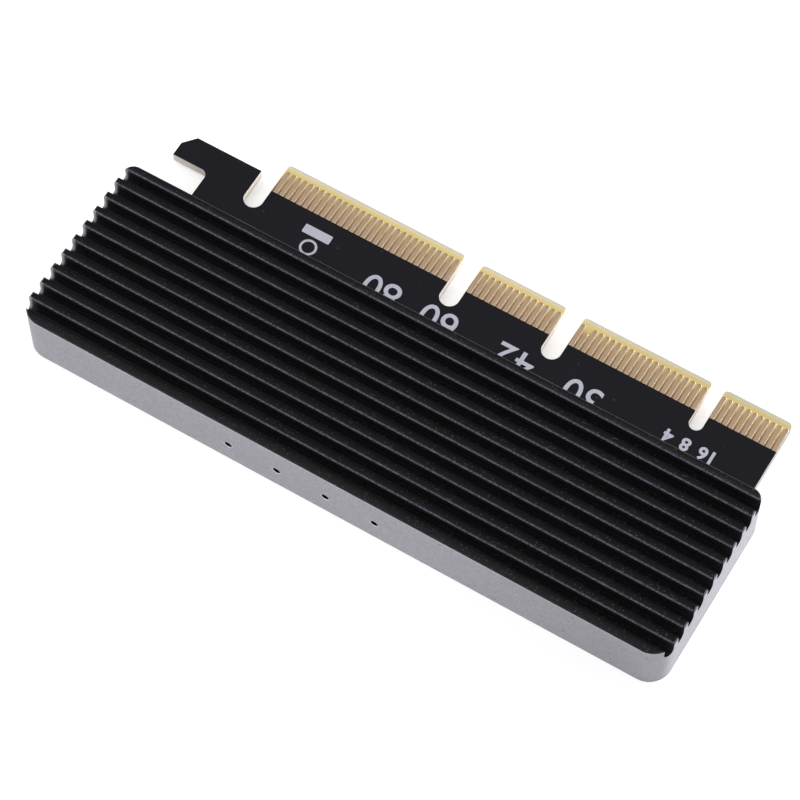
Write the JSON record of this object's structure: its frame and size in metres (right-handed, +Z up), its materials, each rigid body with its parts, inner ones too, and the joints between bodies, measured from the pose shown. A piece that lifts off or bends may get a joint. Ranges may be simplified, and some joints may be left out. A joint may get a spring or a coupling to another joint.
{
  "type": "nvme adapter card",
  "caption": "Bracketless adapter card for one M.2 drive: a black circuit board with a long gold card edge under a finned black aluminium shell.",
  "frame": {"origin": "on the table, under the centre of the box around the card", "axes": "+X along the card towards the end with contact 1, +Y from the shell towards the gold edge, +Z up out of the fins"},
  "size_m": [0.1046, 0.045, 0.0098],
  "materials": {
    "shell": "black anodised, bead blasted",
    "board": "black solder mask over glass laminate",
    "gold": "gold plated",
    "socket": "moulded",
    "tin": "tinned",
    "standoff": "turned",
    "screw": "black plated",
    "pad": "soft silicone",
    "lens": "clear",
    "resistor": "coated ceramic",
    "capacitor": "ceramic"
  },
  "bodies": {
    "root": {"heatsink_shell": "shell", "circuit_board": "board", "edge_contacts_side_b": "gold", "edge_contacts_side_a": "gold", "drive_socket_body": "socket", "drive_socket_front_contacts": "gold", "drive_socket_rear_contacts": "gold", "drive_socket_anchors": "tin", "drive_standoffs": "standoff", "drive_screw": "screw", "case_screws": "screw", "thermal_pad": "pad", "status_leds": "lens", "led_resistors": "resistor", "decoupling_capacitors": "capacitor", "pull_up_resistors": "resistor", "bulk_capacitors": "capacitor"}
  },
  "joints": []
}
